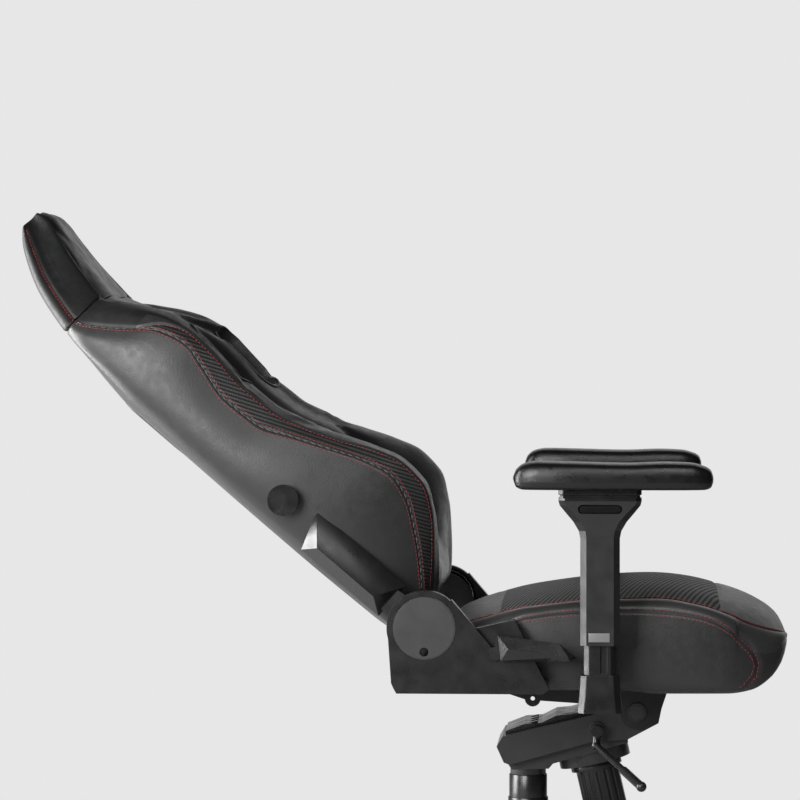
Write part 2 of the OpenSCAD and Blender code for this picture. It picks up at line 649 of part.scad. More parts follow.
// arm pad stations: distance from the rear end, half width share, bottom, top
pad_stations = [[0, 0.5, 682, 690], [4, 0.66, 675, 697], [14, 0.82, pad_bottom, 704], [32, 0.92, pad_bottom, 707],
    [80, 1, pad_bottom, 706], [150, 1, pad_bottom, 704.5], [200, 0.98, pad_bottom, 706],
    [232, 0.92, pad_bottom, 705], [250, 0.8, pad_bottom, 701], [258, 0.68, 674, 697], [262, 0.55, 679, 691]];
module arm_pad() color([0.1, 0.1, 0.1]) translate([-12, -pad_y, 0]) {
    loft([for (s = pad_stations) let (w = s[1] * pad_width / 2, b = s[2], t = s[3], x = s[0] * pad_length / 262)
        [for (p = mirrored([[w - 6, b], [w, b + (t - b) * 0.18], [w, t - (t - b) * 0.4],
            [w - 4, t - (t - b) * 0.12], [w - 14, t]]))
            [x, p[0], p[1]]]]);
}
module left() mirror([0, 1, 0]) children();

// -------------------------------------------------------------------------------- parts

star_base();
lift_outer_tube();
cover_lower();
for (i = [1:5]) caster_fork(i - 1);
for (i = [1:5]) caster_wheels(i - 1);
piston_rod();
thrust_bearing();
lift_column();
release_button();
cover_middle();
cover_upper();
mechanism_housing();
mechanism_lid();
tilt_shaft();
tension_spring();
tension_knob();
lever_shaft();
height_lever();
seat_plate();
seat_frame();
seat_webbing();
seat_cushion();
seat_bolts();
hinge_brackets();
recliners();
recliner_springs();
sync_rod();
side_cover();  // side_cover_right
left() side_cover();  // side_cover_left
hinge_caps();
recline_lever();
back_frame();
back_cushion();
headrest();
recline_arms();
back_covers();
belt_trims();
lumbar_plate();
lumbar_knob();
arm_bracket();  // arm_bracket_right
arm_sleeve();  // arm_sleeve_right
arm_trigger();  // arm_trigger_right
arm_turntable();  // arm_turntable_right
arm_slider();  // arm_slider_right
arm_pad();  // arm_pad_right
left() arm_bracket();  // arm_bracket_left
left() arm_sleeve();  // arm_sleeve_left
left() arm_trigger();  // arm_trigger_left
left() arm_turntable();  // arm_turntable_left
left() arm_slider();  // arm_slider_left
left() arm_pad();  // arm_pad_left
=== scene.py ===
"""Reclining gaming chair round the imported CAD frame. Metres, +Z up, the sitter's front is +X."""

import math

import bmesh
import bpy
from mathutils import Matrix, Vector
from mathutils.bvhtree import BVHTree


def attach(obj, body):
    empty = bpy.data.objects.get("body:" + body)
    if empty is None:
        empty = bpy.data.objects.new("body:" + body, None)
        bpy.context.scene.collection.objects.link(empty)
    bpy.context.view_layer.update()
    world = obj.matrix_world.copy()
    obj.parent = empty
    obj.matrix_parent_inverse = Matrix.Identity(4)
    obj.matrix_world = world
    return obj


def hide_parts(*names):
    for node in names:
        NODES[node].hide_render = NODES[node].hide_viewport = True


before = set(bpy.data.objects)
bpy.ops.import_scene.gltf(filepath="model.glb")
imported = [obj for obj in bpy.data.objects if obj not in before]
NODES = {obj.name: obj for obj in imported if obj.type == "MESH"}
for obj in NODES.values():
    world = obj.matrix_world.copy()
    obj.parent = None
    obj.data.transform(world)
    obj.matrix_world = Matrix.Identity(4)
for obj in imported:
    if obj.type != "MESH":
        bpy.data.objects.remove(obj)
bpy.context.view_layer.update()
MM = 0.001

# ---------------------------------------------------------------- camera, floor and light

scene = bpy.context.scene
scene.view_settings.view_transform = "Standard"
scene.view_settings.look = "None"


def aim(obj, direction):
    obj.rotation_euler = Vector(direction).to_track_quat("-Z", "Y").to_euler()


CAMERA_AT, CAMERA_LENS = (0.1188, -5.0, 0.850), 159.98      # metres, mm
CAMERA_YAW, CAMERA_PITCH = 3.4285, 0.7575                   # degrees to the left and down


def add_camera():
    data = bpy.data.cameras.new("camera")
    data.lens, data.sensor_width = CAMERA_LENS, 36
    cam = bpy.data.objects.new("camera", data)
    scene.collection.objects.link(cam)
    cam.location = CAMERA_AT
    yaw, pitch = math.radians(CAMERA_YAW), math.radians(CAMERA_PITCH)
    aim(cam, (-math.sin(yaw) * math.cos(pitch), math.cos(yaw) * math.cos(pitch), -math.sin(pitch)))
    scene.camera = cam


def add_light(name, place, target, size, power):
    data = bpy.data.lights.new(name, "AREA")
    data.shape, data.size, data.size_y, data.energy = "RECTANGLE", size[0], size[1], power
    obj = bpy.data.objects.new(name, data)
    scene.collection.objects.link(obj)
    obj.location = place
    aim(obj, Vector(target) - Vector(place))


BACKDROP = 0.799                        # grey seen behind the chair
ROOM_DARK, ROOM_PALE = 0.035, 0.85      # brightness of the studio in front and of the wall behind
WALL_EDGE, WALL_FULL = 0.72, 0.95       # Y of the directions between which the wall fades in


def add_world():
    world = bpy.data.worlds.new("studio")
    world.use_nodes = True
    scene.world = world
    nt = world.node_tree
    nt.nodes.clear()
    out = nt.nodes.new("ShaderNodeOutputWorld")
    mix = nt.nodes.new("ShaderNodeMixShader")
    path = nt.nodes.new("ShaderNodeLightPath")
    seen, fill = nt.nodes.new("ShaderNodeBackground"), nt.nodes.new("ShaderNodeBackground")
    seen.inputs["Color"].default_value = (BACKDROP, BACKDROP, BACKDROP, 1)
    # the room: a pale wall behind the chair, the dark studio in front of it
    way = nt.nodes.new("ShaderNodeSeparateXYZ")
    nt.links.new(nt.nodes.new("ShaderNodeTexCoord").outputs["Generated"], way.inputs[0])
    wall = nt.nodes.new("ShaderNodeMapRange")
    for i, x in enumerate((0.0, WALL_EDGE, WALL_FULL, ROOM_DARK, ROOM_PALE)):
        wall.inputs[i].default_value = x
    wall.interpolation_type = "SMOOTHSTEP"
    nt.links.new(way.outputs["Y"], wall.inputs[0])
    nt.links.new(wall.outputs[0], fill.inputs["Strength"])
    nt.links.new(path.outputs["Is Camera Ray"], mix.inputs[0])
    nt.links.new(fill.outputs[0], mix.inputs[1])
    nt.links.new(seen.outputs[0], mix.inputs[2])
    nt.links.new(mix.outputs[0], out.inputs[0])


# ---------------------------------------------------------------- materials


class Mat:
    """A node material on one Principled shader, with short calls for the nodes that feed it."""

    def __init__(self, name, rough=0.5, metallic=0.0, specular=0.5, sheen=0.0, coat=0.0):
        self.m = bpy.data.materials.new(name)
        self.m.use_nodes = True
        self.nt = self.m.node_tree
        self.b = self.nt.nodes["Principled BSDF"]
        self.b.inputs["Roughness"].default_value = rough
        self.b.inputs["Metallic"].default_value = metallic
        self.b.inputs["Specular IOR Level"].default_value = specular
        self.b.inputs["Sheen Weight"].default_value = sheen
        self.b.inputs["Sheen Roughness"].default_value = 0.4
        self.b.inputs["Coat Weight"].default_value = coat
        self.b.inputs["Coat Roughness"].default_value = 0.12
        self.coords = self.node("ShaderNodeTexCoord").outputs["Object"]
        self.height = None

    def node(self, kind, **props):
        n = self.nt.nodes.new(kind)
        for k, v in props.items():
            setattr(n, k, v)
        return n

    def link(self, a, b):
        self.nt.links.new(a, b)

    def math(self, op, a, b=None):
        n = self.node("ShaderNodeMath", operation=op)
        for i, x in enumerate((a, b)):
            if x is None:
                continue
            if isinstance(x, (int, float)):
                n.inputs[i].default_value = x
            else:
                self.link(x, n.inputs[i])
        return n.outputs[0]

    def noise(self, scale, detail=3.0):
        n = self.node("ShaderNodeTexNoise")
        n.inputs["Scale"].default_value = scale
        n.inputs["Detail"].default_value = detail
        self.link(self.coords, n.inputs["Vector"])
        return n.outputs["Fac"]

    def cells(self, scale):
        n = self.node("ShaderNodeTexVoronoi")
        n.inputs["Scale"].default_value = scale
        self.link(self.coords, n.inputs["Vector"])
        return n.outputs["Distance"]

    def ramp(self, fac, lo, hi, a=0.0, b=1.0):
        n = self.node("ShaderNodeMapRange")
        for i, x in enumerate((fac, lo, hi, a, b)):
            if isinstance(x, (int, float)):
                n.inputs[i].default_value = x
            else:
                self.link(x, n.inputs[i])
        return n.outputs[0]

    def mix(self, fac, a, b):
        n = self.node("ShaderNodeMix", data_type="RGBA")
        for i, x in ((0, fac), (6, a), (7, b)):
            if isinstance(x, (int, float)):
                n.inputs[i].default_value = x
            elif isinstance(x, tuple):
                n.inputs[i].default_value = (*x, 1)
            else:
                self.link(x, n.inputs[i])
        return n.outputs[2]

    def colour(self, x):
        self.link(x, self.b.inputs["Base Color"])

    def roughness(self, x):
        self.link(x, self.b.inputs["Roughness"])

    def bump(self, height, distance, strength=1.0):
        n = self.node("ShaderNodeBump")
        n.inputs["Strength"].default_value = strength
        n.inputs["Distance"].default_value = distance
        self.link(height, n.inputs["Height"])
        if self.height is not None:
            self.link(self.height, n.inputs["Normal"])
        self.height = n.outputs[0]
        self.link(self.height, self.b.inputs["Normal"])


def grey(v, tint=(1.0, 1.0, 1.0)):
    return tuple(v * t for t in tint)


def leather(name, base, rough=0.42, grain=520.0, sheen=0.12):
    m = Mat(name, rough=rough, specular=0.5, sheen=sheen)
    broad = m.noise(5.0, 2.0)
    fine = m.noise(85.0, 4.0)
    warm, dark = grey(base * 1.16, (1.0, 0.985, 0.965)), grey(base * 0.86, (0.97, 0.985, 1.0))
    tone = m.mix(m.ramp(broad, 0.35, 0.65), dark, warm)
    pebble = m.cells(grain)
    m.colour(m.mix(m.ramp(pebble, 0.25, 0.75, 0.0, 0.22), tone, grey(base * 0.55)))
    m.roughness(m.ramp(fine, 0.3, 0.7, rough - 0.05, rough + 0.07))
    m.bump(m.math("SUBTRACT", 1.0, pebble), 0.00022, 0.5)
    m.bump(m.noise(1400.0, 2.0), 0.00006, 0.5)
    m.bump(m.noise(26.0, 3.0), 0.0011, 0.22)
    return m.m


def carbon(name, slope, period, dark, light, cross):
    """Twill-weave vinyl. slope is the rib's angle in degrees, period the rib spacing in metres, and
    cross the plane that the weave lies in: the two object axes it is drawn on."""
    m = Mat(name, rough=0.5, specular=0.35)
    axes = m.node("ShaderNodeSeparateXYZ")
    m.link(m.coords, axes.inputs[0])
    x, y = axes.outputs[cross[0]], axes.outputs[cross[1]]
    turn = math.radians(slope + 45)
    c, s = math.cos(turn), math.sin(turn)
    p = period * math.sqrt(2) / 4
    u = m.math("DIVIDE", m.math("ADD", m.math("MULTIPLY", x, c), m.math("MULTIPLY", y, s)), p)
    v = m.math("DIVIDE", m.math("SUBTRACT", m.math("MULTIPLY", y, c), m.math("MULTIPLY", x, s)), p)
    step = m.math("FLOORED_MODULO", m.math("SUBTRACT", m.math("FLOOR", u), m.math("FLOOR", v)), 4.0)
    over = m.math("LESS_THAN", step, 1.5)
    along_u = m.math("ABSOLUTE", m.math("SINE", m.math("MULTIPLY", u, math.pi)))
    along_v = m.math("ABSOLUTE", m.math("SINE", m.math("MULTIPLY", v, math.pi)))
    thread = m.math("ADD", m.math("MULTIPLY", over, along_v),
                    m.math("MULTIPLY", m.math("SUBTRACT", 1.0, over), along_u))
    tone = m.mix(over, grey(dark), grey(light))
    worn = m.ramp(m.noise(60.0, 3.0), 0.3, 0.7, 0.0, 0.3)
    m.colour(m.mix(m.ramp(thread, 0.0, 0.5, 0.55, 0.0), m.mix(worn, tone, grey(dark)), grey(0.004)))
    m.roughness(m.ramp(over, 0.0, 1.0, 0.62, 0.42))
    m.bump(m.math("ADD", thread, m.math("MULTIPLY", over, 0.6)), 0.0003, 0.6)
    return m.m


def plastic(name, base, rough=0.45, texture=900.0, depth=0.00005, tint=(1.0, 1.0, 1.0), coat=0.0):
    m = Mat(name, rough=rough, specular=0.5, coat=coat)
    tone = m.mix(m.ramp(m.noise(14.0, 2.0), 0.3, 0.7), grey(base * 0.88, tint), grey(base * 1.12, tint))
    m.colour(tone)
    m.roughness(m.ramp(m.noise(48.0, 3.0), 0.3, 0.7, rough - 0.05, rough + 0.06))
    m.bump(m.cells(texture), depth, 0.6)
    return m.m


def plain(name, base):
    m = Mat(name, rough=0.7, specular=0.2)
    m.b.inputs["Base Color"].default_value = (base, base, base, 1)
    return m.m


def metal(name, base, rough=0.3, metallic=1.0):
    m = Mat(name, rough=rough, metallic=metallic)
    lines = m.noise(300.0, 3.0)
    m.colour(m.mix(m.ramp(lines, 0.3, 0.7), grey(base * 0.85), grey(base * 1.1)))
    m.roughness(m.ramp(m.noise(40.0, 4.0), 0.3, 0.7, rough - 0.06, rough + 0.1))
    m.bump(lines, 0.00003, 0.5)
    return m.m


def thread(name, base):
    m = Mat(name, rough=0.55, sheen=0.3)
    m.colour(m.mix(m.ramp(m.noise(700.0, 2.0), 0.3, 0.7), grey(0.7, base), grey(1.15, base)))
    m.bump(m.noise(2500.0, 1.0), 0.0001, 0.5)
    return m.m


def twisted_cord(name):
    """Piping cord with pale and black turns; the turns follow the path's length, kept in the UV map."""
    m = Mat(name, rough=0.45)
    uv = m.node("ShaderNodeUVMap", uv_map="length")
    axes = m.node("ShaderNodeSeparateXYZ")
    m.link(uv.outputs[0], axes.inputs[0])
    turn = m.math("FRACT", m.math("ADD", m.math("DIVIDE", axes.outputs[0], 0.0105), axes.outputs[1]))
    m.colour(m.mix(m.math("LESS_THAN", turn, 0.55), (0.006, 0.006, 0.006), (0.09, 0.09, 0.09)))
    m.bump(m.math("SINE", m.math("MULTIPLY", turn, 2 * math.pi)), 0.0002, 0.6)
    return m.m


LEATHER = leather("black_leather", 0.022, rough=0.42)
# a darker copy of the black leather: painted shade on the wing panels and the headrest's side panels
LEATHER_PAINTED_SHADE = leather("black_leather_painted_shade", 0.006, rough=0.55, sheen=0.0)
# a darker, glossier copy of the black leather for the front faces: its darker colour is painted shade
LEATHER_FRONT_PAINTED_SHADE = leather("black_leather_front_painted_shade", 0.014, rough=0.34, sheen=0.0)
# a paler copy of the black leather for the seat's side band: its paler colour is a painted highlight
LEATHER_BAND_PAINTED_LIGHT = leather("black_leather_band_painted_light", 0.035, rough=0.36)
STRIP = carbon("carbon_strip", 72.0, 0.0047, 0.004, 0.045, (0, 2))
SEAT_WEAVE = carbon("carbon_seat", -12.0, 0.0067, 0.002, 0.05, (0, 1))
RED = thread("red_thread", (0.27, 0.022, 0.028))
BLACK_THREAD = thread("black_thread", (0.02, 0.02, 0.02))
CORD = twisted_cord("piping_cord")
SATIN = plastic("satin_plastic", 0.009, rough=0.3)
# the black paint of the mechanism housing and the tilt shaft: its own paint, made paler as painted light on
# these parts
HOUSING_PAINT_AND_LIGHT = plastic("housing_paint_and_painted_light", 0.03, rough=0.34, texture=700.0)
SATIN_LIGHT = plastic("satin_plastic_light", 0.014, rough=0.26)
SLEEVE = plastic("sleeve_plastic", 0.018, rough=0.36, texture=1300.0)
GLOSS = plastic("gloss_plastic", 0.008, rough=0.22, coat=0.4, depth=0.00001)
CAP = plastic("cap_plastic", 0.04, rough=0.4)
TRIM = plastic("trim_plastic", 0.012, rough=0.34, coat=0.1)
FORK = plastic("caster_plastic", 0.018, rough=0.4)
TYRE = plastic("caster_tyre", 0.014, rough=0.6)
BASE = metal("base_coat", 0.03, rough=0.38, metallic=0.4)
STEEL_BLACK = metal("black_steel", 0.016, rough=0.4, metallic=0.3)
HOLE = plastic("hole_shadow", 0.002, rough=0.9)
STEEL = metal("bright_steel", 0.5, rough=0.28)
PAD = leather("arm_pad_skin", 0.006, rough=0.3, grain=1300.0, sheen=0.0)
PLATE = plastic("grey_plate", 0.2, rough=0.4)
WEBBING = plastic("webbing", 0.03, rough=0.8)
BUTTON = plastic("red_button", 0.25, rough=0.4, tint=(1.0, 0.08, 0.06))

# ---------------------------------------------------------------- curves and skins


def steady(xs, ys):
    """Smooth curve through the points that never overshoots them."""
    n = len(xs)
    h = [xs[i + 1] - xs[i] for i in range(n - 1)]
    d = [(ys[i + 1] - ys[i]) / h[i] for i in range(n - 1)]
    m = [d[0]] + [0.0] * (n - 2) + [d[-1]]
    for i in range(1, n - 1):
        if d[i - 1] * d[i] > 0:
            w1, w2 = 2 * h[i] + h[i - 1], h[i] + 2 * h[i - 1]
            m[i] = (w1 + w2) / (w1 / d[i - 1] + w2 / d[i])

    def at(x):
        i = max(0, min(n - 2, sum(1 for v in xs[1:-1] if v <= x)))
        t = (x - xs[i]) / h[i]
        return (ys[i] * (1 + 2 * t) * (1 - t) ** 2 + h[i] * m[i] * t * (1 - t) ** 2
                + ys[i + 1] * t * t * (3 - 2 * t) - h[i] * m[i + 1] * t * t * (1 - t))

    return at


def stations(table):
    """A function that gives every column of the table at any value of its first."""
    xs = [row[0] for row in table]
    curves = [steady(xs, [row[c] for row in table]) for c in range(1, len(table[0]))]
    return lambda x: [x] + [c(x) for c in curves]


def spline_piece(p0, p1, p2, p3, n):
    """Points of a centripetal spline from p1 to p2."""
    t0 = 0.0
    t1 = t0 + max((p1 - p0).length, 1e-6) ** 0.5
    t2 = t1 + max((p2 - p1).length, 1e-6) ** 0.5
    t3 = t2 + max((p3 - p2).length, 1e-6) ** 0.5

    def between(a, b, lo, hi, t):
        return a * ((hi - t) / (hi - lo)) + b * ((t - lo) / (hi - lo))

    out = []
    for k in range(n + 1):
        t = t1 + (t2 - t1) * k / n
        a1, a2, a3 = between(p0, p1, t0, t1, t), between(p1, p2, t1, t2, t), between(p2, p3, t2, t3, t)
        out.append(between(between(a1, a2, t0, t2, t), between(a2, a3, t1, t3, t), t1, t2, t))
    return out


CLUSTER = [0.0, 1.4, 3.0, 5.5, 9.0]  # sample distances from a seam, in mm


def half_ring(keys, seams, counts):
    """Samples of a half outline through the keys, close together near the seams.

    Each is (point, segment, distance to the nearest seam). The outline is symmetric about y = 0."""
    keys = [Vector(k) for k in keys]
    n = len(keys)
    before = Vector((-keys[1].x, keys[1].y))
    after = Vector((-keys[n - 2].x, keys[n - 2].y))
    out = []
    for i in range(n - 1):
        p1, p2 = keys[i], keys[i + 1]
        p0 = before if i == 0 else keys[i - 1]
        p3 = after if i == n - 2 else keys[i + 2]
        if i in seams:
            p0 = p1 * 2 - p2
        if i + 1 in seams:
            p3 = p2 * 2 - p1
        line = spline_piece(p0, p1, p2, p3, 12)
        sums = [0.0]
        for a, b in zip(line, line[1:]):
            sums.append(sums[-1] + (b - a).length)
        total = sums[-1]
        tight = min(1.0, 0.42 * total / CLUSTER[-1]) if total > 0 else 0
        head = [c * tight for c in CLUSTER] if i in seams else [0.0]
        tail = [total - c * tight for c in reversed(CLUSTER[1:])] if i + 1 in seams else []
        lo, hi = head[-1], tail[0] if tail else total
        inner = [lo + (hi - lo) * (k + 1) / (counts[i] + 1) for k in range(counts[i])]
        for s in head + inner + tail:
            j = max(0, min(len(line) - 2, sum(1 for v in sums[1:-1] if v <= s)))
            f = (s - sums[j]) / max(sums[j + 1] - sums[j], 1e-9)
            near = min([s] * (i in seams) + [total - s] * (i + 1 in seams) + [99.0])
            out.append((line[j].lerp(line[j + 1], f), i, near))
    out.append((keys[-1], n - 2, 99.0))
    return out


def mesh_object(name, points, faces, mats, indices=None):
    mesh = bpy.data.meshes.new(name)
    mesh.from_pydata([tuple(p) for p in points], [], faces)
    for m in mats:
        mesh.materials.append(m)
    if indices:
        mesh.polygons.foreach_set("material_index", indices)
    mesh.polygons.foreach_set("use_smooth", [True] * len(mesh.polygons))
    mesh.update()
    obj = bpy.data.objects.new(name, mesh)
    scene.collection.objects.link(obj)
    return obj


def skin(name, rows, mats, paint, sink):
    """Closed skin over rows of half rings, given as (place, samples), place(point) giving the 3-D point.

    paint(row, segment) gives each face's material, sink(row, segment, near, point) how far in mm each
    point goes in. Returns the object and a function that gives the vertex index of a row and sample."""
    points, depths = [], []
    k = len(rows[0][1])
    width = 2 * k - 2
    for r, (place, samples) in enumerate(rows):
        for side, ring in ((1, samples), (-1, samples[-2:0:-1])):
            for p, seg, near in ring:
                points.append(place(Vector((p.x * side, p.y))))
                depths.append(sink(r, seg, near, points[-1]))
    faces, paints = [], []
    for r in range(len(rows) - 1):
        for i in range(width):
            j = (i + 1) % width
            a = r * width
            faces.append((a + i, a + j, a + width + j, a + width + i))
            half = i if i < k - 1 else width - i - 1
            paints.append(paint(r, rows[r][1][half][1]))
    for r, flip in ((0, True), (len(rows) - 1, False)):
        ring = list(range(r * width, (r + 1) * width))
        centre = sum((points[i] for i in ring), Vector()) / width
        points.append(centre)
        depths.append(0.0)
        c = len(points) - 1
        for i in range(width):
            a, b = ring[i], ring[(i + 1) % width]
            faces.append((b, a, c) if flip else (a, b, c))
            paints.append(0)
    obj = mesh_object(name, points, faces, mats, paints)
    mesh = obj.data
    bm = bmesh.new()
    bm.from_mesh(mesh)
    bmesh.ops.recalc_face_normals(bm, faces=bm.faces)
    bm.normal_update()
    moves = [v.normal * (-d * MM) for v, d in zip(bm.verts, depths)]
    for v, m in zip(bm.verts, moves):
        v.co += m
    bm.to_mesh(mesh)
    bm.free()
    mesh.update()

    def vertex(row, sample, side=-1):
        return row * width + (sample if side > 0 or sample in (0, k - 1) else width - sample)

    return obj, vertex


def surface(obj):
    bm = bmesh.new()
    bm.from_mesh(obj.data)
    tree = BVHTree.FromBMesh(bm)
    bm.free()
    return tree


def on_surface(tree, points, shift):
    """The path laid on the surface, moved sideways by shift, as (point, normal) pairs."""
    out = []
    n = len(points)
    for i, p in enumerate(points):
        spot, normal, _, _ = tree.find_nearest(p)
        along = points[min(i + 1, n - 1)] - points[max(i - 1, 0)]
        side = along.cross(normal).normalized()
        spot, normal, _, _ = tree.find_nearest(spot + side * shift)
        out.append((spot, normal))
    return out


def rail(obj, vertex, rows, sample, side, step=0.0, lift=0.0):
    """Path along a seam of a skin, step samples to one side of it, as (point, normal) pairs."""
    near = math.floor(step)
    f = step - near
    out = []
    for r in rows:
        a, b = (obj.data.vertices[vertex(r, sample + k, side)] for k in (near, near + 1))
        normal = a.normal.lerp(b.normal, f).normalized()
        out.append((a.co.lerp(b.co, f) + normal * lift, normal))
    return out


def evenly(path, step):
    """The path of (point, normal) at equal steps, as (point, normal, tangent, length so far)."""
    out, need, done = [], 0.0, 0.0
    for (a, na), (b, nb) in zip(path, path[1:]):
        d = (b - a).length
        if d < 1e-9:
            continue
        while need <= done + d:
            f = (need - done) / d
            out.append((a.lerp(b, f), na.lerp(nb, f).normalized(), (b - a) / d, need))
            need += step
        done += d
    return out


STITCHES = {}       # (body, thread) -> (points, faces) of all its stitches
STITCH_PITCH, STITCH_LONG, STITCH_THICK = 5.6, 4.5, 0.45    # mm


def stitch(body, path, kind="red"):
    """Thread stitches along the path: short rounded lengths that dip into the leather at both ends."""
    points, faces = STITCHES.setdefault((body, kind), ([], []))
    for p, n, t, _ in evenly(path, STITCH_PITCH * MM):
        side = t.cross(n).normalized()
        base = len(points)
        rings = ((-0.5, 0.3, -0.3), (-0.3, 0.9, 0.3), (0.0, 1.0, 0.45), (0.3, 0.9, 0.3), (0.5, 0.3, -0.3))
        for along, fat, up in rings:
            for k in range(6):
                a = 2 * math.pi * k / 6
                points.append(p + t * (along * STITCH_LONG * MM) + n * (up * STITCH_THICK * MM)
                              + (side * math.cos(a) + n * math.sin(a)) * (fat * STITCH_THICK * MM))
        for r in range(4):
            for k in range(6):
                j = (k + 1) % 6
                a, b = base + 6 * r, base + 6 * r + 6
                faces.append((a + k, a + j, b + j, b + k))
        faces.append(tuple(base + k for k in range(5, -1, -1)))
        faces.append(tuple(base + 24 + k for k in range(6)))


def tube(name, path, radius, material, sides=8, flat=1.0, closed=False):
    """Tube along a path of (point, normal), with its length in a UV map."""
    pts = evenly(path, 0.002)
    points, faces, uvs = [], [], []
    n = len(pts)
    for p, nrm, t, s in pts:
        side = t.cross(nrm).normalized()
        for k in range(sides):
            a = 2 * math.pi * k / sides
            points.append(p + side * math.cos(a) * radius + nrm * math.sin(a) * radius * flat)
    rows = n if closed else n - 1
    for r in range(rows):
        q = (r + 1) % n
        for k in range(sides):
            j = (k + 1) % sides
            faces.append((r * sides + k, r * sides + j, q * sides + j, q * sides + k))
            s0, s1 = pts[r][3], pts[r][3] + 0.002
            uvs += [(s0, k / sides), (s0, (k + 1) / sides), (s1, (k + 1) / sides), (s1, k / sides)]
    if not closed:
        for ring in (list(range(sides - 1, -1, -1)), [(n - 1) * sides + k for k in range(sides)]):
            faces.append(tuple(ring))
            uvs += [(0.0, 0.0)] * sides
    obj = mesh_object(name, points, faces, [material])
    layer = obj.data.uv_layers.new(name="length")
    for loop, uv in zip(layer.data, uvs):
        loop.uv = uv
    tidy_normals(obj)
    return obj


def tidy_normals(obj):
    bm = bmesh.new()
    bm.from_mesh(obj.data)
    bmesh.ops.recalc_face_normals(bm, faces=bm.faces)
    bm.to_mesh(obj.data)
    bm.free()
    obj.data.update()


SWELL_PRESSURE, SWELL_FRAMES = 4.0, 20


def swell(obj, free, cap):
    """Blows the padding up by cloth simulation. free(point index) is 1 where the skin is free to move and 0
    where a seam holds it; cap is the furthest that a point may move."""
    mesh = obj.data
    start = [v.co.copy() for v in mesh.vertices]
    held = obj.vertex_groups.new(name="held")
    for i in range(len(start)):
        held.add([i], 1.0 - free(i), "REPLACE")
    mod = obj.modifiers.new("cloth", "CLOTH")
    mod.settings.quality = 4
    mod.settings.mass = 0.35
    mod.settings.tension_stiffness = mod.settings.compression_stiffness = 14
    mod.settings.shear_stiffness = 6
    mod.settings.bending_stiffness = 2.0
    mod.settings.use_pressure = True
    mod.settings.uniform_pressure_force = SWELL_PRESSURE
    mod.settings.vertex_group_mass = "held"
    mod.settings.effector_weights.gravity = 0
    mod.collision_settings.use_collision = False
    for f in range(1, SWELL_FRAMES + 1):
        scene.frame_set(f)
    shaped = obj.evaluated_get(bpy.context.evaluated_depsgraph_get()).to_mesh()
    moved = [v.co.copy() for v in shaped.vertices]
    obj.modifiers.remove(mod)
    obj.vertex_groups.remove(held)
    for v, a, b in zip(mesh.vertices, start, moved):
        d = b - a
        if d.length > cap:
            d *= cap / d.length
        v.co = a + d
    scene.frame_set(1)
    mesh.update()


def cut(obj, cutter):
    mod = obj.modifiers.new("cut", "BOOLEAN")
    mod.operation, mod.object, mod.solver = "DIFFERENCE", cutter, "EXACT"
    shaped = bpy.data.meshes.new_from_object(obj.evaluated_get(bpy.context.evaluated_depsgraph_get()))
    obj.modifiers.remove(mod)
    shaped.set_sharp_from_angle(angle=math.radians(50))
    obj.data = shaped
    bpy.data.objects.remove(cutter)


def keep(obj, body, slot, *nodes, fill=None):
    """The last calls for a piece: its body and the CAD nodes that it stands for. Its finish, slot, is not
    used.
    """
    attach(obj, body)
    if nodes:
        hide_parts(*nodes)


def bell(d, width):
    """1 at a distance of 0, falling off over width."""
    return math.exp(-(d / width) ** 2)


# ---------------------------------------------------------------- backrest and headrest

HINGE = Vector((-131, 0, 485))
RECLINE = math.radians(49.5)
UP = Vector((-math.sin(RECLINE), 0, math.cos(RECLINE)))     # u, up the back
OUT = Vector((math.cos(RECLINE), 0, math.sin(RECLINE)))     # v, out of its front


def in_back(v, y, u):
    return (HINGE + OUT * v + UP * u + Vector((0, y, 0))) * MM


# height up the back, half width, rear face, side seam, strip seam, crest, middle of the front
BACK = [
    [18, 226, -28, 10, 26, 40, 36], [30, 238, -38, 26, 44, 56, 54], [60, 245, -41, 58, 84, 90, 70],
    [95, 254, -41, 88, 122, 124, 82], [130, 262, -41, 113, 143, 145, 90], [165, 268, -41, 124, 146, 148, 92],
    [205, 270, -41, 116, 135, 137, 88], [250, 270, -41, 98, 114, 119, 78], [300, 268, -41, 77, 95, 99, 66],
    [350, 264, -41, 57, 84, 87, 58], [400, 260, -41, 55, 83, 86, 54], [450, 256, -41, 67, 90, 94, 54],
    [490, 253, -41, 77, 92, 98, 58], [530, 248, -37, 68, 84, 92, 60], [565, 240, -32, 42, 68, 78, 58],
    [600, 229, -27, 16, 42, 58, 52], [630, 212, -22, 0, 22, 43, 46], [660, 192, -17, 4, 22, 47, 50],
    [700, 162, -8, 12, 28, 54, 56], [740, 130, 8, 26, 40, 64, 65], [768, 108, 24, 38, 50, 71, 72],
    [785, 94, 38, 46, 56, 68, 68],
]
BACK_AT = stations(BACK)
NECK = 630          # where the headrest's own panels begin
STRIP_TIP = 556     # top of the carbon-look strip
REAR_SEAM, SIDE_SEAM, STRIP_SEAM = 2, 5, 6      # keys of back_keys() that lie in a seam
BACK_SEAMS = {REAR_SEAM, SIDE_SEAM, STRIP_SEAM}


def strip_share(u):
    """How much of the strip's full width is left at this height: it narrows to a point at the top."""
    t = max(0.0, min(1.0, (STRIP_TIP - u) / 62))
    return max(0.05, math.sin(t * math.pi / 2) ** 0.8)


def back_keys(u):
    _, w, r, side, strip, crest, mid = BACK_AT(u)
    side_p, strip_p, crest_p = Vector((w - 4, side)), Vector((w - 18, strip)), Vector((0.8 * w, crest))
    share = strip_share(u)
    return [
        (0, r), (0.6 * w, r), (w - 30, r + 1), (w - 8, r + 0.12 * (side - r)), (w, r + 0.5 * (side - r)),
        side_p,
        side_p.lerp(strip_p, share), strip_p.lerp(crest_p, 0.12 * share), crest_p, (0.68 * w, crest - 8),
        (0.5 * w, (crest + mid) / 2), (0.36 * w, mid + 3), (0, mid),
    ]


BACK_COUNTS = [6, 5, 2, 3, 3, 3, 1, 3, 3, 4, 4, 8]


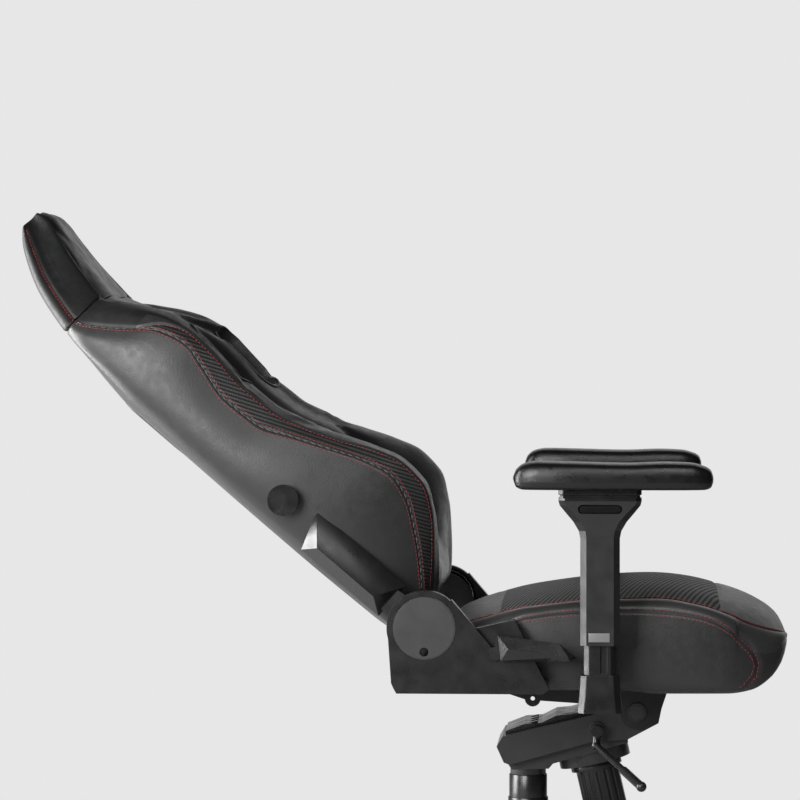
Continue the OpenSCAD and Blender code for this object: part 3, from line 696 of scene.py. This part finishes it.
def back_row(u, inset=0.0):
    """A row at height u, drawn in towards its middle by inset (mm) for the rounded ends."""
    keys = back_keys(u)
    samples = half_ring(keys, BACK_SEAMS, BACK_COUNTS)
    if inset:
        w, mid_v = keys[4][0], (keys[0][1] + keys[-1][1]) / 2
        samples = [(Vector((p.x * (1 - inset / w), mid_v + (p.y - mid_v) * (1 - 2 * inset / 75))), s, d)
                   for p, s, d in samples]
    return (lambda p, u=u: in_back(p.y, p.x, u)), samples


def heights(lo, hi, step):
    """Even values from lo to hi, about a step apart."""
    n = max(1, round((hi - lo) / step))
    return [lo + (hi - lo) * i / n for i in range(n + 1)]


def back_sink(us):
    def sink(row, seg, near, p):
        u = us[row]
        depth = 2.6 * bell(near, 2.2) if near < 90 else 0.0
        if seg in (3, 4):                       # side panel bulges between its seams
            depth -= 2.0 * (1 - bell(near, 16))
        if seg >= 8:
            depth -= 1.5
        return depth * max(0.0, min(1.0, (us[-1] - u) / 22))
    return sink


def back_paint(us):
    def paint(row, seg):
        # 3 is the darker leather copy: painted shade on the wing panels above the strip's tip and on the
        #                               headrest's side panels
        if seg in (SIDE_SEAM, STRIP_SEAM) and us[row] >= STRIP_TIP:
            return 3
        if us[row] > NECK and seg in (3, 4):
            return 3
        if seg == SIDE_SEAM:
            return 1
        # 2 is the front's darker leather copy: painted shade on the front faces
        return 2 if seg >= 7 else 0
    return paint


def seam_index(seam, counts, seams):
    """Sample index of a key in the half ring."""
    i = 0
    for s in range(seam):
        i += (len(CLUSTER) if s in seams else 1) + counts[s] + (len(CLUSTER) - 1 if s + 1 in seams else 0)
    return i


# rows of stitches: the seam, and how many samples to one side of it
BACK_STITCHES = {
    "back": [(SIDE_SEAM, -2.8), (SIDE_SEAM, 2.8)],
    "head": [(REAR_SEAM, 2.8), (SIDE_SEAM, -2.6), (SIDE_SEAM, 2.6)],
}


def back_seam(key):
    return seam_index(key, BACK_COUNTS, BACK_SEAMS)


def loose_back(us, vertex):
    """How free each point of the backrest's skin is: held at the seams and on the rear face."""
    weights = {}
    samples = half_ring(back_keys(300), BACK_SEAMS, BACK_COUNTS)
    for r in range(6, len(us) - 6):
        ends = min(1.0, (min(r, len(us) - 1 - r) - 5) / 4)
        for k, (_, seg, near) in enumerate(samples):
            if seg >= REAR_SEAM:
                for side in (-1, 1):
                    weights[vertex(r, k, side)] = ends * min(1.0, max(0.0, (near - 3) / 10))
    return lambda i: weights.get(i, 0.0)


def build_back():
    body = "backrest"
    us = [18, 18.6, 20.5] + heights(24, NECK - 6, 6.5) + [NECK - 3.5, NECK - 1.6, NECK - 0.5]
    insets = {0: 6, 1: 3, 2: 1, len(us) - 2: 1.0, len(us) - 1: 2.6}
    rows = [back_row(u, insets.get(i, 0)) for i, u in enumerate(us)]
    cushion, vertex = skin("back_cushion_cover", rows, [LEATHER, STRIP, LEATHER_FRONT_PAINTED_SHADE, LEATHER_PAINTED_SHADE],
                           back_paint(us), back_sink(us))
    hs = [NECK + 0.5, NECK + 1.6, NECK + 3.5] + heights(NECK + 6, 777, 6.0) + [780, 783, 784.6, 785]
    insets = {0: 2.6, 1: 1.0, len(hs) - 3: 0.8, len(hs) - 2: 2, len(hs) - 1: 4.5}
    head_rows = [back_row(u, insets.get(i, 0)) for i, u in enumerate(hs)]
    head, head_vertex = skin("headrest_cover", head_rows, [LEATHER, STRIP, LEATHER_FRONT_PAINTED_SHADE, LEATHER_PAINTED_SHADE],
                             back_paint(hs), back_sink(hs))
    swell(cushion, loose_back(us, vertex), cap=0.004)
    swell(head, loose_back(hs, head_vertex), cap=0.004)
    tree = surface(cushion)
    for side in (-1, 1):
        for key, step in BACK_STITCHES["back"]:
            stitch(body, rail(cushion, vertex, range(2, len(us) - 2), back_seam(key), side, step))
    for side in (-1, 1):
        strip_rows = [r for r in range(2, len(us) - 2) if us[r] < STRIP_TIP]
        stitch(body, rail(cushion, vertex, strip_rows, back_seam(STRIP_SEAM), side, -2.2))
        cord = rail(cushion, vertex, range(2, len(us) - 2), back_seam(SIDE_SEAM), side, 0.8, 0.3 * MM)
        name = "back_piping_" + ("right" if side < 0 else "left")
        keep(tube(name, cord, 0.85 * MM, CORD), body, "upholstery")
    for side in (-1, 1):
        for key, step in BACK_STITCHES["head"]:
            stitch(body, rail(head, head_vertex, range(2, len(hs) - 3), back_seam(key), side, step))
    cut_belt_holes(cushion)
    keep(cushion, body, "upholstery", "back_cushion", fill=0.9)
    keep(head, body, "upholstery", "headrest", fill=0.9)
    return tree


BELT_U, BELT_Y, BELT_LONG, BELT_WIDE = 450, 182, 116, 56    # middle and size of the belt openings


def belt_outline(grow, n=20):
    """Points (y, u) of the right-hand belt opening, grown by grow mm, with n to each end's arc."""
    r = BELT_WIDE / 2 + grow
    half = (BELT_LONG - BELT_WIDE) / 2
    pts = []
    for sign in (1, -1):
        for i in range(n + 1):
            a = math.pi * i / n
            pts.append((-BELT_Y + sign * r * math.cos(a), BELT_U + sign * (half + r * math.sin(a))))
    return pts


def cut_belt_holes(cushion):
    for side in (1, -1):
        ring = [(y * side, u) for y, u in belt_outline(0.4)]
        n = len(ring)
        pts = [in_back(-60, y, u) for y, u in ring] + [in_back(150, y, u) for y, u in ring]
        faces = [(i, (i + 1) % n, n + (i + 1) % n, n + i) for i in range(n)]
        faces += [tuple(range(n - 1, -1, -1)), tuple(range(n, 2 * n))]
        cutter = mesh_object("cutter", pts, faces, [TRIM])
        tidy_normals(cutter)
        cut(cushion, cutter)


def belt_rims(tree):
    """Rounded rims that clip over the leather at both faces of the belt openings."""
    for side, hand in ((1, "right"), (-1, "left")):
        for face, v, d in (("front", 160, -1), ("rear", -60, 1)):
            path = []
            for y, u in belt_outline(2.5, 28):
                spot, normal, _, _ = tree.ray_cast(in_back(v, y * side, u), OUT * d)
                path.append((spot + normal * 0.3 * MM, normal))
            path.append(path[0])
            rim = tube(f"belt_rim_{face}_{hand}", path, 3.4 * MM, TRIM, sides=10, flat=0.4, closed=True)
            keep(rim, "backrest", "satin_plastic")


# ---------------------------------------------------------------- seat

# X, half width, bottom, side seam, edge, middle, from the floor
SEAT = [
    [-112, 232, 414, 448, 462, 466], [-104, 244, 402, 456, 474, 480], [-84, 249, 399, 464, 486, 492],
    [-50, 250, 399, 476, 496, 503], [-30, 252, 399, 484, 502, 508], [-12, 262, 399, 492, 507, 513],
    [30, 264, 399, 504, 513, 521], [80, 264, 399, 509, 519, 529], [130, 264, 399, 511, 521, 535],
    [180, 264, 395, 507, 522, 537], [230, 262, 395, 496, 514, 533], [272, 258, 395, 476, 501, 523],
    [303, 248, 399, 452, 487, 513], [328, 232, 413, 448, 479, 501], [345, 210, 434, 456, 474, 488],
    [354, 180, 456, 462, 470, 476],
]
SEAT_AT = stations(SEAT)
# X and Z of the side seam where it is the skin's own line
SEAM_AT = stations([[0, 497], [44, 503], [90, 506], [156, 506], [193, 504], [230, 499], [256, 491],
                    [285, 474]])
SEAT_SEAMS = {1, 4, 6}
SEAT_COUNTS = [8, 2, 4, 4, 3, 3, 6, 12]
NOSE = 258          # X of the crease between the woven panel and the leather nose


def seat_keys(x):
    _, w, b, side, edge, mid = SEAT_AT(x)
    if 0 <= x <= PANEL_TURN:
        side = SEAM_AT(x)[1]
    return [
        (0, b), (w - 14, b), (w - 3, b + 0.08 * (side - b)), (w, (b + side) / 2), (w - 2, side),
        (w - 12, (side + edge) / 2 + 3), (w - 32, edge), (w - 90, edge + 0.6 * (mid - edge)), (0, mid),
    ]


# the double seam of the side panel, in X and Z: along the seat, then down and back round the front corner
PANEL_SEAM = [(0, 497), (44, 503), (90, 506), (156, 506), (193, 504), (230, 499), (256, 491), (280, 478),
              (297, 464), (309, 449), (314, 435), (310, 420), (302, 408), (294, 396)]
PANEL_TURN = 285    # X where the seam leaves the skin's own line and turns down
WEAVE_REAR = -38    # X where the woven panel begins


def nose_line(y):
    """X of the woven panel's front edge: it bows forward in the middle."""
    return NOSE + 8 * (1 - (y / 230) ** 2)


def seam_gap(x, z):
    """Distance from a point on the side panel to its double seam, in mm."""
    best = 99.0
    p = Vector((x, z))
    for a, b in zip(PANEL_SEAM[5:], PANEL_SEAM[6:]):
        a, b = Vector(a), Vector(b)
        t = max(0.0, min(1.0, (p - a).dot(b - a) / (b - a).length_squared))
        best = min(best, (p - a.lerp(b, t)).length)
    return best


def build_seat():
    body = "seat"
    xs = [-112, -111.4, -109] + heights(-104, 345, 6.5) + [350, 353, 354]
    xs = sorted({x for x in xs if not 244 < x < 326} | {244 + 2.75 * i for i in range(30)})
    insets = {0: 8, 1: 4, 2: 1.5, len(xs) - 2: 4, len(xs) - 1: 10}
    rows = []
    for i, x in enumerate(xs):
        samples = half_ring(seat_keys(x), SEAT_SEAMS, SEAT_COUNTS)
        inset = insets.get(i, 0)
        if inset:
            w, mid_z = seat_keys(x)[3][0], (samples[0][0].y + samples[-1][0].y) / 2
            samples = [(Vector((p.x * (1 - inset / w), mid_z + (p.y - mid_z) * (1 - inset / 30))), s, d)
                       for p, s, d in samples]
        rows.append(((lambda p, x=x: Vector((x, p.x, p.y)) * MM), samples))

    def paint(row, seg):
        if seg >= 6:
            return 2 if WEAVE_REAR < xs[row] < NOSE + 3 else 0
        # 1 is the paler leather copy: a painted highlight on the side band
        return 1 if seg in (4, 5) else 0

    def sink(row, seg, near, p):
        x, y, z = (c / MM for c in p)
        turn = max(0.0, min(1.0, (x - PANEL_TURN + 20) / 20))
        own = 1.0 if seg in (0, 1, 5, 6, 7) else 1 - turn
        depth = 2.4 * bell(near, 2.2) * own if near < 90 else 0.0
        if seg in (1, 2, 3, 4):
            depth = max(depth, 2.4 * bell(seam_gap(x, z), 2.8) * turn)
        if seg in (2, 3):
            depth -= 1.6 * (1 - bell(near, 18)) * (1 - turn)
        if seg in (4, 5):
            depth -= 1.2 * (1 - bell(near, 6))
        if seg >= 6:
            depth += 2.2 * bell(x - nose_line(y), 2.6) + 1.5 * bell(x - WEAVE_REAR, 3)
        return depth

    seat, vertex = skin("seat_cover", rows, [LEATHER, LEATHER_BAND_PAINTED_LIGHT, SEAT_WEAVE], paint, sink)
    weights = {}
    for r in range(6, len(xs) - 8):
        for k, (_, seg, near) in enumerate(rows[r][1]):
            if seg >= 2:        # the bottom is held
                turned = seam_gap(xs[r], rows[r][1][k][0].y) if seg < 5 else 99
                gap = min(near, abs(xs[r] - NOSE - 4), turned)
                for side in (-1, 1):
                    weights[vertex(r, k, side)] = min(1.0, (r - 5) / 4) * min(1.0, max(0.0, (gap - 3) / 10))
    swell(seat, lambda i: weights.get(i, 0.0), cap=0.005)
    tree = surface(seat)
    before = [r for r, x in enumerate(xs) if -104 <= x <= PANEL_TURN - 8]
    whole = [r for r, x in enumerate(xs) if -104 <= x <= 350]
    turn = [q for q in PANEL_SEAM if q[0] > PANEL_TURN - 8]
    for side in (-1, 1):
        for step, shift in ((-2.8, 4.6), (2.8, -4.6)):
            path = rail(seat, vertex, before, seam_index(4, SEAT_COUNTS, SEAT_SEAMS), side, step)
            ends = [path[-1][0]]
            for x, z in turn:
                p, n, _, _ = tree.find_nearest(Vector((x, side * (SEAT_AT(min(x, 354))[1] + 4), z)) * MM)
                ends.append(p)
            last = len(ends) - 1
            smooth = [q for i in range(1, last)
                      for q in spline_piece(ends[i - 1], ends[i], ends[i + 1], ends[min(i + 2, last)], 6)]
            path += on_surface(tree, smooth[4:], shift * MM * -side)
            stitch(body, path)
        for step in (-2.6, 2.6):
            stitch(body, rail(seat, vertex, whole, seam_index(6, SEAT_COUNTS, SEAT_SEAMS), side, step))
        bottom = rail(seat, vertex, before, seam_index(1, SEAT_COUNTS, SEAT_SEAMS), side, 2.8)
        stitch(body, bottom, kind="black")
    keep(seat, body, "upholstery", "seat_cushion", fill=0.95)


# ---------------------------------------------------------------- armrests

# distance from the rear end, share of the half width, bottom, top
PAD_STATIONS = [
    [0, 0.5, 682, 690], [4, 0.66, 675, 697], [14, 0.82, 672, 704], [32, 0.92, 672, 707], [80, 1, 672, 706],
    [150, 1, 672, 704.5], [200, 0.98, 672, 706], [232, 0.92, 672, 705], [250, 0.8, 672, 701],
    [258, 0.68, 674, 697], [262, 0.55, 679, 691],
]
PAD_AT = stations(PAD_STATIONS)


def pad_keys(s):
    _, share, b, t = PAD_AT(s)
    w = share * 47
    d = t - b
    return [(0, b), (w - 6, b), (w, b + 0.18 * d), (w, t - 0.4 * d), (w - 4, t - 0.12 * d), (w - 14, t),
            (0, t + 0.6)]


def build_pad(hand, side):
    ss = [0, 0.3, 1.2, 2.5] + heights(4, 258, 4) + [259.5, 260.8, 261.7, 262]
    insets = {0: 9, 1: 6, 2: 3, 3: 1, len(ss) - 3: 1.5, len(ss) - 2: 4, len(ss) - 1: 9}
    rows = []
    for i, s in enumerate(ss):
        keys = pad_keys(s)
        samples = half_ring(keys, {2}, [4, 2, 3, 3, 3, 5])
        inset = insets.get(i, 0)
        if inset:
            mid = (keys[0][1] + keys[-1][1]) / 2
            samples = [(Vector((p.x * (1 - inset / 40), mid + (p.y - mid) * (1 - inset / 14))), g, d)
                       for p, g, d in samples]
        rows.append(((lambda p, s=s: Vector((s - 12, p.x - 320 * side, p.y)) * MM), samples))

    def sink(row, seg, near, p):
        return 0.8 * bell(near, 1.2) if near < 90 else 0.0

    pad, _ = skin("arm_pad_skin_" + hand, rows, [PAD], lambda r, g: 0, sink)
    keep(pad, "pad_" + hand, "arm_pad_skin", "arm_pad_" + hand, fill=1.0)


def block(name, lo, hi, material, radius=0.8):
    """Box between two corners in mm, with rounded edges."""
    bm = bmesh.new()
    bmesh.ops.create_cube(bm, size=1)
    for v in bm.verts:
        for i in range(3):
            v.co[i] = (lo[i] + hi[i]) / 2 * MM + v.co[i] * (hi[i] - lo[i]) * MM
    bmesh.ops.bevel(bm, geom=list(bm.edges), offset=radius * MM, segments=3, profile=0.5, affect="EDGES")
    mesh = bpy.data.meshes.new(name)
    bm.to_mesh(mesh)
    bm.free()
    mesh.materials.append(material)
    mesh.polygons.foreach_set("use_smooth", [True] * len(mesh.polygons))
    obj = bpy.data.objects.new(name, mesh)
    scene.collection.objects.link(obj)
    return obj


def dark_hole(name, centre, radius, body):
    """Shaded bottom of a screw hole: a shallow dish along Y."""
    turns, rings = 32, ((1.0, 0.0), (0.8, 0.9), (0.35, 1.3))
    side = 1 if centre[1] < 0 else -1
    points, faces = [], []
    for f, deep in rings:
        for k in range(turns):
            a = 2 * math.pi * k / turns
            points.append((Vector(centre) + Vector((radius * f * math.cos(a), side * deep,
                                                    radius * f * math.sin(a)))) * MM)
    for r in range(0, 2 * turns, turns):
        for k in range(turns):
            j = (k + 1) % turns
            faces.append((r + k, r + j, r + turns + j, r + turns + k))
    faces.append(tuple(range(2 * turns, 3 * turns)))
    faces.append(tuple(range(turns - 1, -1, -1)))
    hole = mesh_object(name, points, faces, [HOLE])
    tidy_normals(hole)
    keep(hole, body, "satin_plastic")


def arm_details(hand, side):
    y = -329 * side
    lo, hi = sorted((y - 0.9, y + 0.9))
    plate = block("sleeve_plate_" + hand, (87, lo, 470), (115, hi, 482), PLATE)
    keep(plate, "arm_" + hand, "satin_plastic")


# ---------------------------------------------------------------- CAD nodes that stay in view

FINISH = {
    "star_base": (BASE, 1.5), "lift_outer_tube": (STEEL_BLACK, 0.6), "cover_lower": (SATIN, 0.4),
    "cover_middle": (SATIN, 0.4), "cover_upper": (SATIN, 0.4), "piston_rod": (STEEL, 0.4),
    "thrust_bearing": (STEEL, 0.4), "lift_column": (STEEL_BLACK, 0.5), "release_button": (BUTTON, 0.5),
    # the housing and the tilt shaft take the paler housing paint, painted light on them
    "mechanism_housing": (HOUSING_PAINT_AND_LIGHT, 2.0), "mechanism_lid": (SATIN_LIGHT, 1.2), "tilt_shaft": (HOUSING_PAINT_AND_LIGHT, 0.5),
    "tension_spring": (STEEL, 0), "tension_knob": (SATIN, 0.8), "lever_shaft": (STEEL_BLACK, 0.5),
    "height_lever": (SATIN, 0.6), "seat_plate": (STEEL_BLACK, 1.0), "seat_frame": (STEEL_BLACK, 1.5),
    "seat_webbing": (WEBBING, 0.2), "seat_bolts": (STEEL, 0.6), "hinge_brackets": (STEEL_BLACK, 0.8),
    "recliners": (STEEL, 0.8), "recliner_springs": (STEEL, 0), "sync_rod": (STEEL, 0.5),
    "side_cover_right": (SATIN, 1.2), "side_cover_left": (SATIN, 1.2), "hinge_caps": (CAP, 0.8),
    "recline_lever": (SATIN_LIGHT, 0.7), "back_frame": (STEEL_BLACK, 0), "recline_arms": (STEEL_BLACK, 0.8),
    "back_covers": (SATIN, 0.8), "belt_trims": (TRIM, 0.8), "lumbar_plate": (SATIN, 0.8),
    "lumbar_knob": (GLOSS, 0.8),
}
for i in range(1, 6):
    FINISH[f"caster_fork_{i}"] = (FORK, 0.8)
    FINISH[f"caster_wheels_{i}"] = (TYRE, 0.5)
for hand in ("right", "left"):
    FINISH["arm_bracket_" + hand] = (SATIN, 1.0)
    FINISH["arm_sleeve_" + hand] = (SLEEVE, 1.2)
    FINISH["arm_trigger_" + hand] = (GLOSS, 0.8)
    FINISH["arm_turntable_" + hand] = (SATIN, 0.8)
    FINISH["arm_slider_" + hand] = (SATIN, 1.0)


def finish_node(name, material, bevel):
    obj = NODES[name]
    if not obj.material_slots:
        obj.data.materials.append(material)
    for s in obj.material_slots:
        s.material = material
    if bevel:
        weld = obj.modifiers.new("weld", "WELD")
        weld.merge_threshold = 0.00002
        mod = obj.modifiers.new("bevel", "BEVEL")
        mod.width, mod.segments = bevel * MM, 2
        mod.limit_method, mod.angle_limit = "ANGLE", math.radians(35)
        mod.harden_normals = True


# ---------------------------------------------------------------- everything together

add_camera()
add_world()
add_light("key", (-1.8, -2.9, 1.5), (-0.3, -0.1, 0.65), (1.7, 1.7), 125)
add_light("left", (-1.9, 0.0, 0.78), (0, 0, 0.68), (0.85, 1.5), 74)
add_light("front", (0.7, -2.4, 2.6), (0.0, -0.2, 0.6), (1.4, 1.0), 26)

for node_name, (node_material, node_bevel) in FINISH.items():
    finish_node(node_name, node_material, node_bevel)

belt_rims(build_back())
build_seat()
for hand, side in (("right", 1), ("left", -1)):
    build_pad(hand, side)
    arm_details(hand, side)

for hand, side in (("right", -1), ("left", 1)):
    dark_hole("cap_screw_hole_" + hand, (-131, side * 297.6, 453.5), 5.9, "seat")

for (body, kind), (points, faces) in STITCHES.items():
    rows = mesh_object(f"{kind}_stitches_{body}", points, faces, [RED if kind == "red" else BLACK_THREAD])
    keep(rows, body, "upholstery")

floor = mesh_object("floor", [(-3, -3, 0), (3, -3, 0), (3, 1.6, 0), (-3, 1.6, 0)], [(0, 1, 2, 3)],
                    [plain("floor_paint", 0.5)])
